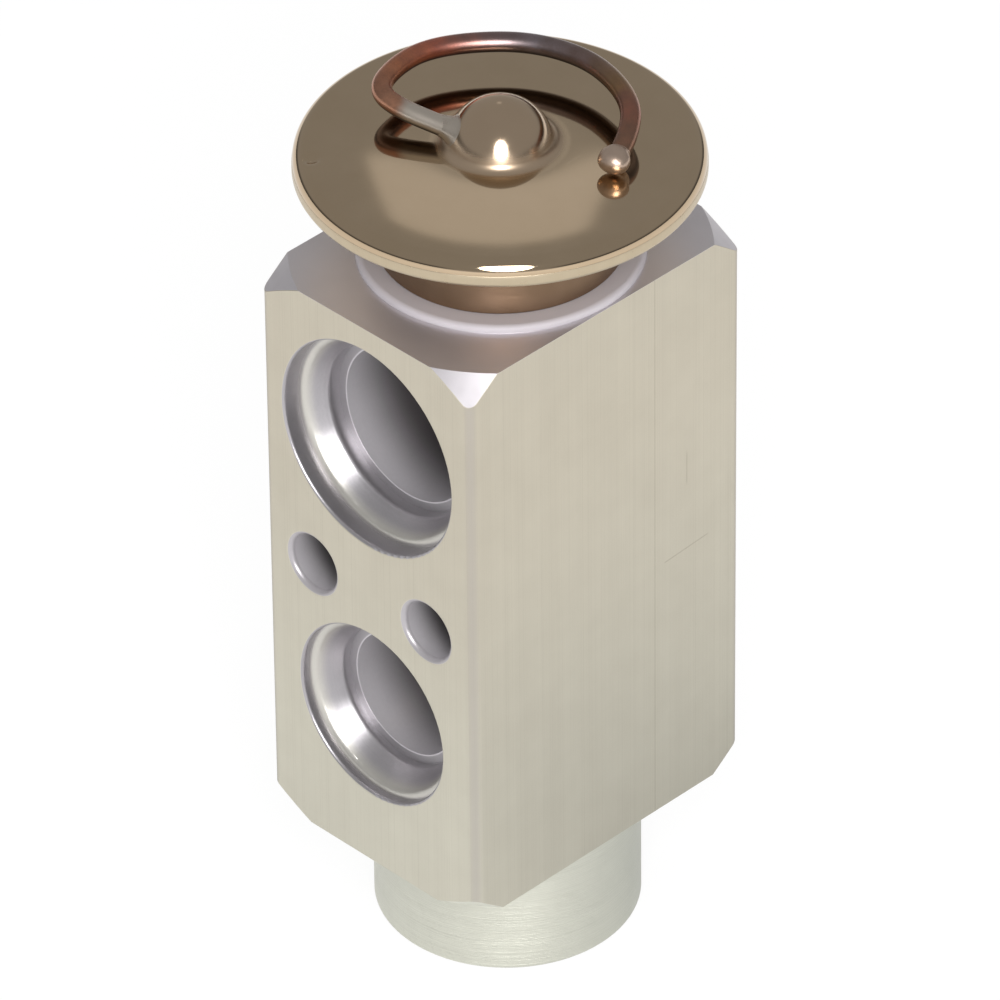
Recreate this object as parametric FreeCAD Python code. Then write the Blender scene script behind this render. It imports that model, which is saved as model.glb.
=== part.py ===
import FreeCAD, Part
import math
import os

V = FreeCAD.Vector
os.makedirs("parts", exist_ok=True)

# Thermostatic expansion valve of the block kind, as used between the liquid line and the
# evaporator of a vehicle air conditioner. Millimetres, +Z up along the valve's axis, origin at
# the centre of the round boss's bottom face. -Y is the pipe side with the suction outlet above
# the liquid inlet, +Y is the evaporator side, +X is a plain side.

# Aluminium block, cut from drawn bar, with its ends turned about the valve's axis
block_width = 27.0
block_depth = 35.0
block_height = 61.0
block_edge_radius = 1.0
end_cone_diameter = 38.8
boss_diameter = 25.3
boss_height = 13.0
boss_edge_round = 0.6
boss_root_radius = 0.5
collar_diameter = 26.6
collar_height = 0.7
collar_edge_round = 0.55

# Suction line through the block: the same O-ring port on both faces, its height from the
# block's underside
suction_rise = 47.6
suction_pilot_diameter = 21.6
suction_pilot_depth = 1.9
suction_ledge_width = 0.65
suction_throat_diameter = 17.5
suction_cone_depth = 2.05
suction_throat_depth = 5.2
suction_bore_diameter = 15.6
suction_bore_depth = 9.0
suction_passage_diameter = 14.8
suction_opening_diameter = 9.6

# Liquid inlet, on the pipe side
inlet_rise = 17.2
inlet_pilot_diameter = 18.4
inlet_pilot_depth = 1.0
inlet_ledge_width = 0.5
inlet_throat_diameter = 14.5
inlet_cone_depth = 2.6
inlet_throat_depth = 4.4
inlet_bore_diameter = 12.6
inlet_bore_depth = 6.8
inlet_drill_diameter = 11.8

# Outlet to the evaporator, on the other side, reached by a slanting hole from above the seat
outlet_rise = 20.2
outlet_pilot_diameter = 16.4
outlet_pilot_depth = 1.0
outlet_ledge_width = 0.5
outlet_throat_diameter = 12.8
outlet_cone_depth = 2.3
outlet_throat_depth = 4.2
outlet_bore_diameter = 11.0
outlet_bore_depth = 4.6
outlet_drill_diameter = 4.4

port_lip_round = 0.35
port_cone_round = 0.9

# Two plain holes for the screws that clamp the pipe plates
bolt_rise = 30.7
bolt_spacing = 14.8
bolt_hole_diameter = 5.8
bolt_hole_lip = 0.6

# Bores on the valve's axis, from the boss upwards
screw_thread_diameter = 16.0
screw_thread_depth = 8.0
screw_mouth_chamfer = 0.8
chamber_diameter = 12.0
chamber_headroom = 1.0
seat_ring_diameter = 7.2
seat_ring_height = 3.0
orifice_diameter = 3.2
cavity_diameter = 5.2
cavity_height = 5.0
pin_diameter = 3.0
pin_tip_diameter = 1.9
seal_pocket_diameter = 6.6
seal_pocket_depth = 3.0

# Power head: two pressed shells with the diaphragm between them, on a threaded neck
head_diameter = 37.6
head_rise = 10.05
shell_thickness = 0.85
diaphragm_thickness = 0.12
shoulder_height = 1.4
shoulder_round = 1.35
rim_edge_round = 0.15
rim_weld_depth = 0.35
rim_weld_recess = 0.06
crown_rise = 0.42
dome_radius = 5.0
dome_height = 4.28
dome_fillet = 1.0
dimple_diameter = 1.9
dimple_depth = 0.35
dimple_angle = 232.0
dimple_setback = 1.7
lower_floor_diameter = 25.0
lower_floor_drop = 2.9
lower_flange_width = 2.2
neck_diameter = 22.8
neck_thread_diameter = 16.6
neck_thread_length = 5.0
neck_bore_diameter = 11.4
neck_spout_diameter = 14.4
head_seal_section = 1.4

# Moving stack: pad under the diaphragm, sensing rod, pin, ball and carrier
stroke = 0.6
diaphragm_drop = 0.5
diaphragm_plateau_diameter = 22.4
pad_diameter = 21.4
pad_thickness = 1.4
pad_hub_diameter = 9.2
pad_hub_length = 2.1
sensing_rod_diameter = 6.0
sensing_rod_socket = 3.0
sensing_rod_floor_gap = 1.0
pin_grip = 3.3
ball_diameter = 5.0
carrier_flange_diameter = 10.6
carrier_flange_thickness = 1.4
carrier_cup_diameter = 6.4
carrier_stem_diameter = 5.6
carrier_stem_length = 4.3

# Superheat spring and its adjustment
spring_wire_diameter = 1.2
spring_mean_diameter = 8.8
spring_turns = 6.5
spring_seat_diameter = 11.0
spring_seat_thickness = 1.5
spring_guide_diameter = 7.0
spring_guide_length = 2.8
screw_recess = 2.4
screw_thread_length = 4.0
screw_length = 10.7
screw_groove_height = 1.8
screw_groove_land = 0.7
screw_seal_section = 1.34
key_width = 6.0
key_depth = 5.0

# Charging tube: copper capillary from the dome's flank, bent round the head, sealed at its end
tube_diameter = 1.9
tube_bore = 0.8
tube_entry_height = 1.33
tube_loop_height = 3.1
tube_end_height = 1.43
tube_loop_radius = 12.0
tube_entry_depth = 1.05
tube_squeeze = 0.4
tube_seal_length = 2.3
tube_seal_width = 3.0
tube_seal_thickness = 1.5
braze_diameter = 3.4
braze_length = 1.1

# Clearances between pieces, on the radius or between faces
guide_clearance = 0.05
thread_clearance = 0.05
press_clearance = 0.01
seat_gap = 0.04
face_gap = 0.02
seal_clearance = 0.03

z_block = boss_height
z_top = z_block + block_height
z_collar = z_top + collar_height
z_suction = z_block + suction_rise
z_inlet = z_block + inlet_rise
z_outlet = z_block + outlet_rise
z_bolts = z_block + bolt_rise
z_chamber = z_inlet + inlet_bore_diameter / 2 + chamber_headroom
z_seat_top = z_chamber + seat_ring_height
z_cavity = z_seat_top + cavity_height
z_floor = z_suction - suction_passage_diameter / 2
z_pocket = z_floor - seal_pocket_depth
z_seam = z_top + head_rise
z_lower = z_seam - diaphragm_thickness
z_shell_floor = z_lower - lower_floor_drop - shell_thickness


def outline(corners):
    """Closed wire in the XZ plane through corners (radius, height, rounding of the corner)."""
    count = len(corners)
    marks = []
    for i in range(count):
        x, z, radius = (tuple(corners[i]) + (0.0,))[:3]
        here = V(x, 0, z)
        before = V(corners[i - 1][0], 0, corners[i - 1][1]) - here
        after = V(corners[(i + 1) % count][0], 0, corners[(i + 1) % count][1]) - here
        angle = before.getAngle(after)
        if radius < 1e-6 or angle > math.pi - 1e-6:
            marks.append((here, here, here))
            continue
        back = radius / math.tan(angle / 2)
        start = here + before.normalize() * back
        end = here + after.normalize() * back
        centre = here + (before + after).normalize() * (radius / math.sin(angle / 2))
        middle = centre + (here - centre).normalize() * radius
        marks.append((start, middle, end))
    edges = []
    for i in range(count):
        start, middle, end = marks[i]
        if (end - start).Length > 1e-7:
            edges.append(Part.Arc(start, middle, end).toShape())
        following = marks[(i + 1) % count][0]
        if (following - end).Length > 1e-7:
            edges.append(Part.LineSegment(end, following).toShape())
    return Part.Wire(edges)


def turned(corners):
    """Solid of revolution about Z from a closed outline of (radius, height, rounding)."""
    return Part.Face(outline(corners)).revolve(V(0, 0, 0), V(0, 0, 1), 360)


def pressed(line, thickness, top_round=0.0, low_round=0.0):
    """Sheet of even thickness below an open line that runs from the axis out to the rim."""
    points = [V(c[0], 0, c[1]) for c in line]
    rounds = [(tuple(c) + (0.0,))[2] for c in line]
    last = len(points) - 1
    runs = [(points[i + 1] - points[i]).normalize() for i in range(last)]
    under = []
    for i, point in enumerate(points):
        a = runs[max(i - 1, 0)]
        b = runs[min(i, last - 1)]
        side = V(a.z, 0, -a.x) + V(b.z, 0, -b.x)
        side.normalize()
        reach = thickness / (side.x * a.z - side.z * a.x)
        turn = a.x * b.z - a.z * b.x
        radius = rounds[i]
        if radius > 0:
            radius = radius + math.copysign(thickness, turn)
        low = point + side * reach
        under.append((low.x, low.z, max(radius, 0.0)))
    over = [(p.x, p.z, r) for p, r in zip(points, rounds)]
    over[-1] = (over[-1][0], over[-1][1], top_round)
    under[-1] = (under[-1][0], under[-1][1], low_round)
    return turned(over + under[::-1])


def disc(diameter, z0, z1, at=None):
    """Plain round bar between two heights, about Z or about a parallel axis through at."""
    centre = at or V(0, 0, 0)
    return Part.makeCylinder(diameter / 2, z1 - z0, V(centre.x, centre.y, z0))


def ring(centre_diameter, section, z):
    """O-ring of round section."""
    return Part.makeTorus(centre_diameter / 2, section / 2, V(0, 0, z))


def facing(tool, side, z):
    """Turns a tool made along +Z so that it enters the block from its -Y (-1) or +Y (+1) face."""
    tool = tool.copy()
    tool.rotate(V(0, 0, 0), V(1, 0, 0), side * 90)
    tool.translate(V(0, side * block_depth / 2, z))
    return tool


def port(pilot, pilot_depth, ledge, cone_depth, throat, throat_depth, bore, bore_depth):
    """Cutter for an O-ring port: pilot, flat ledge, flared throat and the pipe's bore."""
    outside = pilot / 2 + 4 * port_lip_round
    return turned([
        (0, -1),
        (outside, -1),
        (outside, 0),
        (pilot / 2, 0, port_lip_round),
        (pilot / 2, pilot_depth),
        (pilot / 2 - ledge, pilot_depth, port_cone_round),
        (throat / 2, pilot_depth + cone_depth, port_cone_round),
        (throat / 2, throat_depth),
        (bore / 2, throat_depth),
        (bore / 2, throat_depth + bore_depth),
        (0, throat_depth + bore_depth),
    ])


# Block: rectangular bar with rounded long edges, its ends turned to a boss, a collar and a
# 45 degree cone that takes the eight corners off
bar = Part.makeBox(
    block_width, block_depth, block_height, V(-block_width / 2, -block_depth / 2, z_block)
)
long_edges = [e for e in bar.Edges if abs(e.Vertexes[0].Z - e.Vertexes[1].Z) > block_height / 2]
bar = bar.makeFillet(block_edge_radius, long_edges)
half_diagonal = math.hypot(block_width, block_depth) / 2
cone = end_cone_diameter / 2
spread = half_diagonal + 1 - cone
envelope = turned([
    (0, z_block),
    (cone, z_block),
    (cone + spread, z_block + spread),
    (cone + spread, z_top - spread),
    (cone, z_top),
    (0, z_top),
])
block = bar.common(envelope)
boss = turned([
    (0, 0),
    (boss_diameter / 2, 0, boss_edge_round),
    (boss_diameter / 2, z_block, boss_root_radius),
    (boss_diameter / 2 + boss_root_radius, z_block),
    (boss_diameter / 2 + boss_root_radius, z_block + 1),
    (0, z_block + 1),
])
collar = turned([
    (0, z_top - 1),
    (collar_diameter / 2, z_top - 1),
    (collar_diameter / 2, z_collar, collar_edge_round),
    (0, z_collar),
])
block = block.fuse([boss, collar])

# Suction line, cut from both faces and joined by a slightly narrower passage
suction = port(
    suction_pilot_diameter, suction_pilot_depth, suction_ledge_width, suction_cone_depth,
    suction_throat_diameter, suction_throat_depth, suction_bore_diameter, suction_bore_depth,
)
passage = disc(suction_passage_diameter, 0, block_depth)
cuts = [
    facing(suction, -1, z_suction),
    facing(suction, 1, z_suction),
    facing(passage, 1, z_suction),
]

# Liquid inlet, drilled on into the spring chamber
inlet = port(
    inlet_pilot_diameter, inlet_pilot_depth, inlet_ledge_width, inlet_cone_depth,
    inlet_throat_diameter, inlet_throat_depth, inlet_bore_diameter, inlet_bore_depth,
)
inlet_drill = disc(inlet_drill_diameter, 0, block_depth / 2)
cuts += [facing(inlet, -1, z_inlet), facing(inlet_drill, -1, z_inlet)]

# Outlet port, and the slanting hole up to the cavity above the seat
outlet = port(
    outlet_pilot_diameter, outlet_pilot_depth, outlet_ledge_width, outlet_cone_depth,
    outlet_throat_diameter, outlet_throat_depth, outlet_bore_diameter, outlet_bore_depth,
)
cuts.append(facing(outlet, 1, z_outlet))
outlet_floor = block_depth / 2 - outlet_throat_depth - outlet_bore_depth
slant_start = V(0, outlet_floor + 1, z_outlet + (outlet_bore_diameter - outlet_drill_diameter) / 4)
slant_end = V(0, 0, z_cavity - outlet_drill_diameter / 2)
slant = slant_end - slant_start
cuts.append(Part.makeCylinder(outlet_drill_diameter / 2, slant.Length, slant_start, slant))

# Screw holes, with a rounded lip at both faces
reach = bolt_hole_diameter / 2 + 3 * bolt_hole_lip
bolt_hole = turned([
    (0, -1),
    (reach, -1),
    (reach, 0),
    (bolt_hole_diameter / 2, 0, bolt_hole_lip),
    (bolt_hole_diameter / 2, block_depth, bolt_hole_lip),
    (reach, block_depth),
    (reach, block_depth + 1),
    (0, block_depth + 1),
])
for side in (-1, 1):
    hole = facing(bolt_hole, -1, z_bolts)
    hole.translate(V(side * bolt_spacing / 2, 0, 0))
    cuts.append(hole)

# Stepped bore from below: thread for the screw, spring chamber, seat pocket, cavity, pin guide
guide = pin_diameter / 2 + guide_clearance
cuts.append(turned([
    (0, -1),
    (screw_thread_diameter / 2 + screw_mouth_chamfer + 1, -1),
    (screw_thread_diameter / 2, screw_mouth_chamfer),
    (screw_thread_diameter / 2, screw_thread_depth),
    (chamber_diameter / 2, screw_thread_depth),
    (chamber_diameter / 2, z_chamber),
    (seat_ring_diameter / 2, z_chamber),
    (seat_ring_diameter / 2, z_seat_top),
    (cavity_diameter / 2, z_seat_top),
    (cavity_diameter / 2, z_cavity),
    (guide, z_cavity),
    (guide, z_pocket),
    (seal_pocket_diameter / 2, z_pocket),
    (seal_pocket_diameter / 2, z_suction),
    (0, z_suction),
]))

# Stepped bore from above: seal seat, thread for the power head, opening into the suction line
neck_shoulder = z_collar
neck_end = neck_shoulder - neck_thread_length
head_seal_outer = neck_thread_diameter / 2 + 0.2
relief_depth = head_seal_section + 0.4
cuts.append(turned([
    (0, z_suction),
    (suction_opening_diameter / 2, z_suction),
    (suction_opening_diameter / 2, neck_end - 0.5),
    (neck_thread_diameter / 2, neck_end - 0.5),
    (neck_thread_diameter / 2, neck_shoulder - relief_depth),
    (head_seal_outer, neck_shoulder - relief_depth),
    (head_seal_outer, neck_shoulder + 1),
    (0, neck_shoulder + 1),
]))
valve_block = block.cut(cuts).removeSplitter()

# Seat ring pressed in above the chamber, with a 45 degree seat for the ball
seat_edge = z_chamber + seat_ring_height / 3
seat_mouth = orifice_diameter / 2 + seat_ring_height / 3
valve_seat = turned([
    (seat_mouth, z_chamber),
    (seat_ring_diameter / 2 - press_clearance, z_chamber),
    (seat_ring_diameter / 2 - press_clearance, z_seat_top),
    (orifice_diameter / 2, z_seat_top),
    (orifice_diameter / 2, seat_edge),
])

# Ball resting under the seat cone
ball_radius = ball_diameter / 2
seat_apex = seat_edge + orifice_diameter / 2
ball_centre = seat_apex - ball_radius * math.sqrt(2) - seat_gap
valve_ball = Part.makeSphere(ball_radius, V(0, 0, ball_centre))

# Carrier: cup with a cone for the ball, flange for the spring, stem inside the spring
cup_apex = ball_centre - ball_radius * math.sqrt(2) - press_clearance
cup_edge = 0.9 * carrier_cup_diameter / 2
z_cup = cup_apex + cup_edge
z_carrier = cup_apex - 1.2
ball_carrier = turned([
    (0, z_carrier - carrier_stem_length),
    (carrier_stem_diameter / 2, z_carrier - carrier_stem_length, 0.5),
    (carrier_stem_diameter / 2, z_carrier),
    (carrier_flange_diameter / 2, z_carrier, 0.2),
    (carrier_flange_diameter / 2, z_carrier + carrier_flange_thickness, 0.2),
    (carrier_cup_diameter / 2, z_carrier + carrier_flange_thickness),
    (carrier_cup_diameter / 2, z_cup),
    (cup_edge, z_cup),
    (0, cup_apex),
])

# Pin: guided length in the block, thinner tip through the seat to the ball
z_rod = z_floor + sensing_rod_floor_gap
z_pin_step = z_cavity + stroke - 0.1
push_pin = turned([
    (0, ball_centre + ball_radius),
    (pin_tip_diameter / 2, ball_centre + ball_radius),
    (pin_tip_diameter / 2, z_pin_step - 0.4),
    (pin_diameter / 2, z_pin_step),
    (pin_diameter / 2, z_rod + pin_grip, 0.2),
    (0, z_rod + pin_grip),
])

# Seal round the pin at the suction line's floor, and the washer pressed in over it
rod_seal_section = seal_pocket_diameter / 2 - pin_diameter / 2 - 2 * seal_clearance
z_rod_seal = z_pocket + rod_seal_section / 2
rod_seal_ring = ring(pin_diameter + 2 * seal_clearance + rod_seal_section, rod_seal_section, z_rod_seal)
z_washer = z_pocket + rod_seal_section + face_gap
seal_retainer = turned([
    (pin_diameter / 2 + 4 * guide_clearance, z_washer),
    (seal_pocket_diameter / 2 - press_clearance, z_washer),
    (seal_pocket_diameter / 2 - press_clearance, z_washer + 0.5),
    (pin_diameter / 2 + 4 * guide_clearance, z_washer + 0.5),
])

# Power head, upper shell: slightly crowned sheet with a rounded shoulder, and the charging dome,
# a ball cap that a fillet joins to the sheet
rim = head_diameter / 2
z_shoulder = z_seam + shoulder_height
z_crown = z_shoulder + crown_rise
z_apex = z_crown + dome_height
z_dome = z_apex - dome_radius
draft = math.asin((z_crown + dome_fillet - z_dome) / (dome_radius + dome_fillet)) + 0.01
dome_corner = dome_radius * math.tan(math.pi / 4 - draft / 2)
dome_foot = dome_corner + dome_height * math.tan(draft)
crown_start = dome_foot + 1.2 * dome_fillet
crown_span = rim - shoulder_round - crown_start
crown_radius = crown_span * (crown_span / 2 + shoulder_round) / crown_rise
upper_shell = pressed([
    (0, z_apex),
    (dome_corner, z_apex, dome_radius),
    (dome_foot, z_crown, dome_fillet),
    (crown_start + crown_span / 2, z_crown, crown_radius),
    (rim, z_shoulder, shoulder_round),
    (rim, z_seam),
], shell_thickness)


def surface_height(radius):
    """Height of the upper shell's sheet at a radius: flat at first, then an arc down."""
    return z_crown - max(radius - crown_start, 0) ** 2 / (2 * crown_radius)


# Locating dimple near the rim
dimple_radius = ((dimple_diameter / 2) ** 2 + dimple_depth ** 2) / (2 * dimple_depth)
turn = math.radians(dimple_angle)
dimple_at = rim - dimple_setback
dimple = Part.makeSphere(dimple_radius, V(
    dimple_at * math.cos(turn),
    dimple_at * math.sin(turn),
    surface_height(dimple_at) + dimple_radius - dimple_depth,
))
upper_shell = upper_shell.cut(dimple)

# Diaphragm: thin sheet with a lowered middle and one convolution, clamped at its edge
weld_inner = rim - rim_weld_depth
plateau = diaphragm_plateau_diameter / 2
fold = (rim - lower_flange_width - plateau) / 3
diaphragm = pressed([
    (0, z_seam - diaphragm_drop),
    (plateau, z_seam - diaphragm_drop, 0.6),
    (plateau + fold, z_seam - diaphragm_drop / 5, 0.5),
    (plateau + 2 * fold, z_seam - diaphragm_drop * 0.7, 0.5),
    (plateau + 3 * fold, z_seam, 0.4),
    (weld_inner, z_seam),
], diaphragm_thickness)

# Lower shell: flange, wall and floor with the hole for the neck's spout
floor_edge = lower_floor_diameter / 2
spout = neck_spout_diameter / 2
lower_shell = pressed([
    (spout + press_clearance, z_lower - lower_floor_drop),
    (floor_edge, z_lower - lower_floor_drop, 0.8),
    (rim - lower_flange_width, z_lower, 1.2),
    (rim, z_lower),
], shell_thickness, rim_edge_round, rim_edge_round)

# Weld that closes the seam round the diaphragm's edge
rim_weld = turned([
    (weld_inner, z_lower),
    (rim - rim_edge_round, z_lower),
    (rim - rim_weld_recess, (z_lower + z_seam) / 2),
    (rim - rim_weld_recess, z_seam),
    (weld_inner, z_seam),
])

# Threaded neck, welded into the lower shell and screwed down on the block's collar
neck = neck_diameter / 2
neck_core = head_seal_outer - head_seal_section - 2 * seal_clearance
head_neck = turned([
    (neck_bore_diameter / 2, neck_end),
    (neck_thread_diameter / 2 - thread_clearance, neck_end, 0.4),
    (neck_thread_diameter / 2 - thread_clearance, neck_shoulder - relief_depth),
    (neck_core, neck_shoulder - relief_depth),
    (neck_core, neck_shoulder),
    (neck, neck_shoulder, 0.3),
    (neck, z_shell_floor),
    (spout, z_shell_floor),
    (spout, z_shell_floor + shell_thickness + 0.2),
    (neck_bore_diameter / 2, z_shell_floor + shell_thickness + 0.2),
])
head_seal_ring = ring(
    head_seal_outer + neck_core, head_seal_section, neck_shoulder - relief_depth / 2
)

# Pad that follows the diaphragm, with a hub for the sensing rod
z_pad = z_lower - diaphragm_drop - face_gap
z_hub = z_pad - pad_thickness - pad_hub_length
rod = sensing_rod_diameter / 2
diaphragm_pad = turned([
    (0, z_hub + sensing_rod_socket),
    (rod + press_clearance, z_hub + sensing_rod_socket),
    (rod + press_clearance, z_hub),
    (pad_hub_diameter / 2, z_hub, 0.3),
    (pad_hub_diameter / 2, z_pad - pad_thickness),
    (pad_diameter / 2, z_pad - pad_thickness, 0.3),
    (pad_diameter / 2, z_pad, 0.3),
    (0, z_pad),
])

# Sensing rod across the suction line, hollowed at its foot for the pin
sensing_rod = turned([
    (0, z_rod + pin_grip),
    (pin_diameter / 2 + press_clearance, z_rod + pin_grip),
    (pin_diameter / 2 + press_clearance, z_rod),
    (rod, z_rod, 0.4),
    (rod, z_hub + sensing_rod_socket, 0.3),
    (0, z_hub + sensing_rod_socket),
])

# Adjusting screw from below: thread, spigot with a seal groove, hexagon socket
z_screw = screw_recess
z_screw_top = z_screw + screw_length
z_groove = z_screw_top - screw_groove_land - screw_groove_height
spigot = chamber_diameter / 2 - guide_clearance
groove = chamber_diameter / 2 - seal_clearance - screw_seal_section
adjusting_screw = turned([
    (0, z_screw),
    (screw_thread_diameter / 2 - thread_clearance, z_screw, 0.5),
    (screw_thread_diameter / 2 - thread_clearance, z_screw + screw_thread_length, 0.3),
    (spigot, z_screw + screw_thread_length),
    (spigot, z_groove),
    (groove, z_groove),
    (groove, z_groove + screw_groove_height),
    (spigot, z_groove + screw_groove_height),
    (spigot, z_screw_top, 0.3),
    (0, z_screw_top),
])
corners = [
    V(
        key_width / math.sqrt(3) * math.cos(math.radians(60 * i)),
        key_width / math.sqrt(3) * math.sin(math.radians(60 * i)),
        z_screw,
    )
    for i in range(7)
]
key_hole = Part.Face(Part.makePolygon(corners)).extrude(V(0, 0, key_depth))
drill_tip = Part.makeCone(key_width / 2, 0, key_width / 2 / math.sqrt(3), V(0, 0, z_screw + key_depth))
lead_in = Part.makeCone(
    key_width / math.sqrt(3), key_width / 2 - 0.1, key_width / math.sqrt(3) - key_width / 2 + 0.1,
    V(0, 0, z_screw),
)
adjusting_screw = adjusting_screw.cut([key_hole, drill_tip, lead_in])
screw_seal_ring = ring(
    chamber_diameter - 2 * seal_clearance - screw_seal_section,
    screw_seal_section,
    z_groove + screw_groove_height / 2,
)

# Spring seat on the screw's end
z_washer_low = z_screw_top + face_gap
z_spring = z_washer_low + spring_seat_thickness
spring_seat = turned([
    (0, z_washer_low),
    (spring_seat_diameter / 2, z_washer_low, 0.3),
    (spring_seat_diameter / 2, z_spring, 0.3),
    (spring_guide_diameter / 2, z_spring),
    (spring_guide_diameter / 2, z_spring + spring_guide_length, 0.8),
    (0, z_spring + spring_guide_length),
])

# Superheat spring, its ends ground flat against the seat and the carrier
spring_length = z_carrier - z_spring
pitch = (spring_length - spring_wire_diameter / 2) / spring_turns
helix = Part.makeHelix(pitch, pitch * (spring_turns + 0.5), spring_mean_diameter / 2)
wire_section = Part.Wire(Part.makeCircle(
    spring_wire_diameter / 2, V(spring_mean_diameter / 2, 0, 0), V(0, 1, 0)
))
coil = Part.Wire(helix).makePipeShell([wire_section], True, True)
coil.translate(V(0, 0, z_spring))
superheat_spring = coil.common(disc(chamber_diameter, z_spring, z_carrier))

# Charging tube: straight runs joined by tangent arcs. Plan angle, radius and height above the
# shell of each point of its route
route = [
    (231.0, dome_radius - tube_entry_depth, tube_entry_height),
    (211.8, tube_loop_radius - 6 * tube_squeeze, tube_loop_height - 2 * tube_squeeze),
    (203.8, tube_loop_radius - tube_squeeze / 2, tube_loop_height - tube_squeeze / 2),
    (188.5, tube_loop_radius + tube_squeeze / 4, tube_loop_height),
    (170.0, tube_loop_radius + tube_squeeze, tube_loop_height),
    (148.5, tube_loop_radius - tube_squeeze / 2, tube_loop_height),
    (121.5, tube_loop_radius - tube_squeeze / 2, tube_loop_height),
    (94.7, tube_loop_radius - tube_squeeze / 2, tube_loop_height),
    (70.6, tube_loop_radius - 0.75 * tube_squeeze, tube_loop_height),
    (48.7, tube_loop_radius, tube_loop_height - tube_squeeze / 4),
    (33.6, tube_loop_radius - tube_squeeze / 2, tube_loop_height - 2 * tube_squeeze),
    (23.1, tube_loop_radius - 1.25 * tube_squeeze, tube_end_height),
]


def tube_point(angle, radius, height):
    """Point of the tube's centre line from its plan angle, radius and height above the shell."""
    a = math.radians(angle)
    return V(radius * math.cos(a), radius * math.sin(a), surface_height(radius) + height)


points = [tube_point(*stop) for stop in route]
stops = [points[0]]
edges = []
bend_radii = []
for i in range(1, len(points) - 1):
    before = points[i - 1] - points[i]
    after = points[i + 1] - points[i]
    back = 0.45 * min(before.Length, after.Length)
    half = before.getAngle(after) / 2
    radius = back * math.tan(half)
    start = points[i] + before.normalize() * back
    end = points[i] + after.normalize() * back
    centre = points[i] + (before + after).normalize() * (radius / math.sin(half))
    middle = centre + (points[i] - centre).normalize() * radius
    edges.append(Part.LineSegment(stops[-1], start).toShape())
    edges.append(Part.Arc(start, middle, end).toShape())
    stops.append(end)
    bend_radii.append(radius)
edges.append(Part.LineSegment(stops[-1], points[-1]).toShape())
path = Part.Wire(edges)
first = (points[1] - points[0]).normalize()
last = (points[-1] - points[-2]).normalize()


def along(diameter):
    """Round bar of a diameter along the tube's centre line."""
    section = Part.Wire(Part.makeCircle(diameter / 2, points[0], first))
    return path.makePipeShell([section], True, False)


dome_wall = Part.makeSphere(dome_radius, V(0, 0, z_dome))
dome_inside = Part.makeSphere(dome_radius - shell_thickness, V(0, 0, z_dome))
tube_outer = along(tube_diameter)
tube_inner = along(tube_bore)
capillary_tube = tube_outer.cut([tube_inner, dome_inside])
upper_shell = upper_shell.cut(tube_outer)

# The tube's cut end, pinched flat and filled with solder: a round plug squeezed from above, laid
# along the tube's last run with its width level
seal_plug = turned([
    (0, 0),
    (0.5, 0, 0.06),
    (0.5, 1, 0.44),
    (0, 1),
])
squeeze = FreeCAD.Matrix()
squeeze.A11 = tube_seal_width
squeeze.A22 = tube_seal_thickness
squeeze.A33 = tube_seal_length
seal_turn = FreeCAD.Rotation(last.cross(V(0, 0, 1)), V(0, 0, 0), last, "ZXY")
capillary_seal = seal_plug.transformGeometry(squeeze)
capillary_seal.Placement = FreeCAD.Placement(points[-1], seal_turn)

# Braze where the tube enters the dome
braze = Part.makeCone(
    braze_diameter / 2, tube_diameter / 2 + 0.05, braze_length + 1.0,
    points[0] + first * 0.2, first,
)
braze_parts = braze.cut([dome_wall, tube_outer, upper_shell]).Solids
capillary_braze = max(braze_parts, key=lambda part: part.Volume)

nodes = {
    "valve_block": valve_block,
    "valve_seat": valve_seat,
    "valve_ball": valve_ball,
    "ball_carrier": ball_carrier,
    "push_pin": push_pin,
    "rod_seal_ring": rod_seal_ring,
    "seal_retainer": seal_retainer,
    "upper_shell": upper_shell,
    "diaphragm": diaphragm,
    "lower_shell": lower_shell,
    "rim_weld": rim_weld,
    "head_neck": head_neck,
    "head_seal_ring": head_seal_ring,
    "diaphragm_pad": diaphragm_pad,
    "sensing_rod": sensing_rod,
    "adjusting_screw": adjusting_screw,
    "screw_seal_ring": screw_seal_ring,
    "spring_seat": spring_seat,
    "superheat_spring": superheat_spring,
    "capillary_tube": capillary_tube,
    "capillary_seal": capillary_seal,
    "capillary_braze": capillary_braze,
}
for name, shape in nodes.items():
    if len(shape.Solids) == 1:
        shape = shape.Solids[0]
    print(name, shape.ShapeType, len(shape.Solids), shape.isValid(), round(shape.Volume, 3))
    shape.exportStep("parts/" + name + ".step")
print("tube bend radii", [round(r, 2) for r in bend_radii])
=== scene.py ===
import math
import bmesh
import bpy
import numpy as np
from mathutils import Matrix


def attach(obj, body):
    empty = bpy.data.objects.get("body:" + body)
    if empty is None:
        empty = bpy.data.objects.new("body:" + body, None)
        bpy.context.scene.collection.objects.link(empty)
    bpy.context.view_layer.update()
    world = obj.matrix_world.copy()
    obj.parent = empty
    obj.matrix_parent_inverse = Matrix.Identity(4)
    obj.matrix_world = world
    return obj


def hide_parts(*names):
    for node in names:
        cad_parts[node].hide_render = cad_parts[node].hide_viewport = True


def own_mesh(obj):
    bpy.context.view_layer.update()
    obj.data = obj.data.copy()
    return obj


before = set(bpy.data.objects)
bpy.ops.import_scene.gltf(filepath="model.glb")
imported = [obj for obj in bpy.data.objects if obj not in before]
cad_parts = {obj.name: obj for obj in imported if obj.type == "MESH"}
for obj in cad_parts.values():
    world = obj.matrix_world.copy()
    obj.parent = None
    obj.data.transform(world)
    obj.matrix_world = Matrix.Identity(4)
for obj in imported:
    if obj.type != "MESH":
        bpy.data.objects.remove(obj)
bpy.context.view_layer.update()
MM = 0.001

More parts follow.
